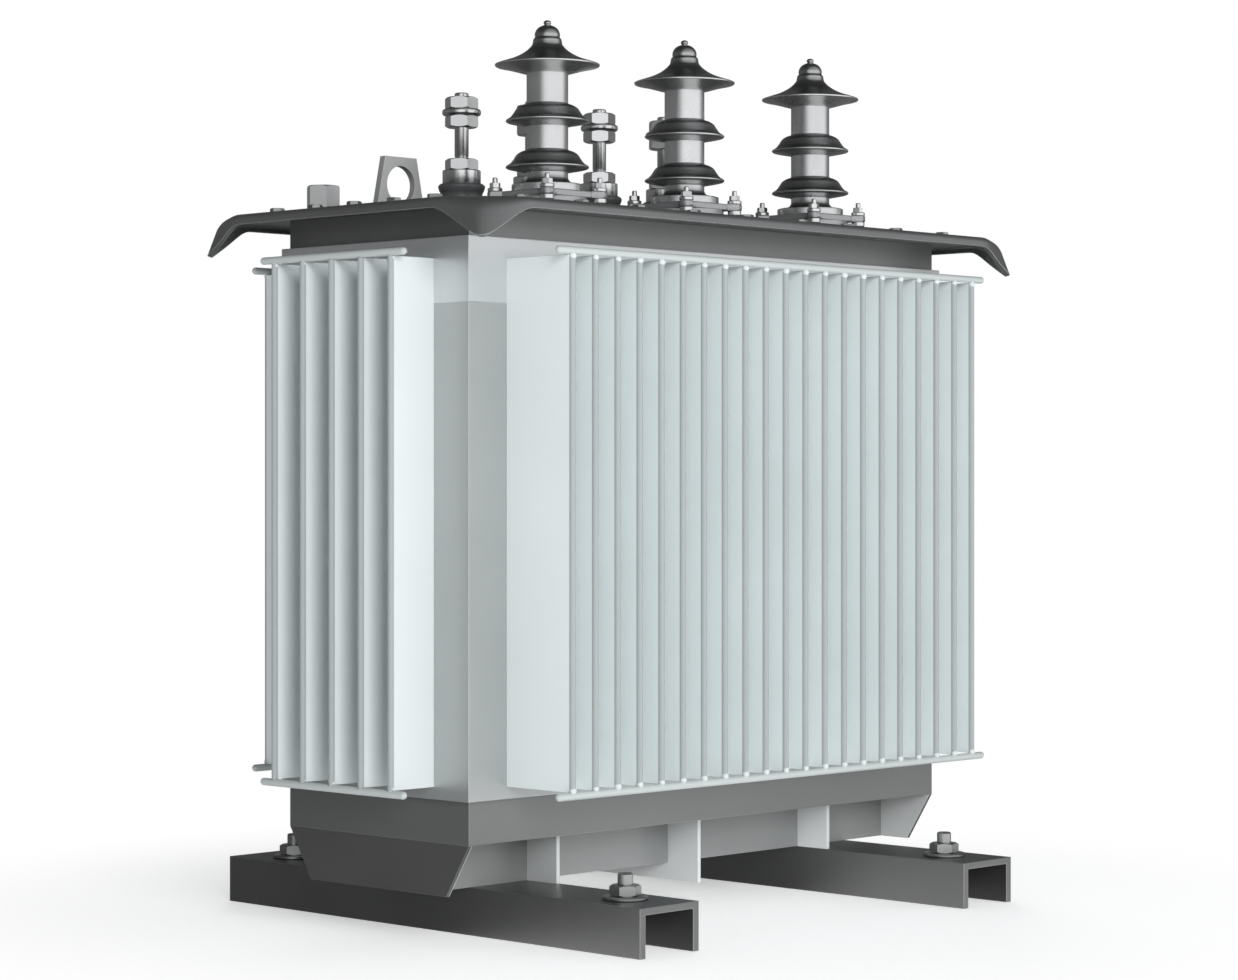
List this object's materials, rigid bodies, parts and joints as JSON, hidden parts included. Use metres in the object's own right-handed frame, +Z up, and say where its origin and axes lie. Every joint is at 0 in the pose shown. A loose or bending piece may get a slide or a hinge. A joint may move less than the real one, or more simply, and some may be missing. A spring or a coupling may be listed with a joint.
{
  "type": "power transformer",
  "caption": "Oil-filled distribution transformer with a finned rectangular tank on skid channels, a flanged lid, shed bushings, stud terminals and lifting lugs.",
  "frame": {"origin": "on the ground at the middle of the whole object's footprint, midway between the two skid channels", "axes": "+X along the long side towards the end without the filler, -Y towards the high voltage bushings, +Z up"},
  "size_m": [1.118, 0.812, 1.221],
  "materials": {
    "skid_paint": "satin dark grey paint",
    "frame_paint": "satin light grey paint",
    "tray_paint": "satin grey paint",
    "tank_paint": "satin pale grey paint",
    "collar_paint": "satin pale grey paint",
    "fin_paint": "satin mint-white paint",
    "neck_paint": "satin dark grey paint",
    "lid_paint": "satin dark grey paint",
    "lug_paint": "satin grey paint",
    "porcelain": "glossy grey glaze",
    "clamp_metal": "cast, satin",
    "zinc_steel": "bright zinc plating",
    "lv_insulator": "satin dark grey"
  },
  "bodies": {
    "root": {"base_end_plate_left": "frame_paint", "base_end_plate_right": "frame_paint", "base_long_plate_back": "frame_paint", "base_long_plate_front": "frame_paint", "base_mid_plate": "frame_paint", "base_ribs_left": "frame_paint", "base_ribs_right": "frame_paint", "fin_rods_back": "fin_paint", "fin_rods_front": "fin_paint", "fin_rods_left": "fin_paint", "fin_rods_right": "fin_paint", "fins_back": "fin_paint", "fins_front": "fin_paint", "fins_left": "fin_paint", "fins_right": "fin_paint", "hv_clamp_plate_left": "clamp_metal", "hv_clamp_plate_middle": "clamp_metal", "hv_clamp_plate_right": "clamp_metal", "hv_clamp_studs": "zinc_steel", "hv_porcelain_left": "porcelain", "hv_porcelain_middle": "porcelain", "hv_porcelain_right": "porcelain", "hv_rings": "clamp_metal", "hv_terminal_left": "zinc_steel", "hv_terminal_middle": "zinc_steel", "hv_terminal_right": "zinc_steel", "lid": "lid_paint", "lifting_lug_left": "lug_paint", "lifting_lug_right": "lug_paint", "lv_insulator_1": "lv_insulator", "lv_insulator_2": "lv_insulator", "lv_insulator_3": "lv_insulator", "lv_insulator_4": "lv_insulator", "lv_terminal_1": "zinc_steel", "lv_terminal_2": "zinc_steel", "lv_terminal_3": "zinc_steel", "lv_terminal_4": "zinc_steel", "oil_filler_plug": "zinc_steel", "skid_bolts": "zinc_steel", "skid_left": "skid_paint", "skid_right": "skid_paint", "tank_floor_tray": "tray_paint", "tank_neck": "neck_paint", "tank_wall_box": "tank_paint", "tank_wall_collar": "collar_paint"}
  },
  "joints": []
}
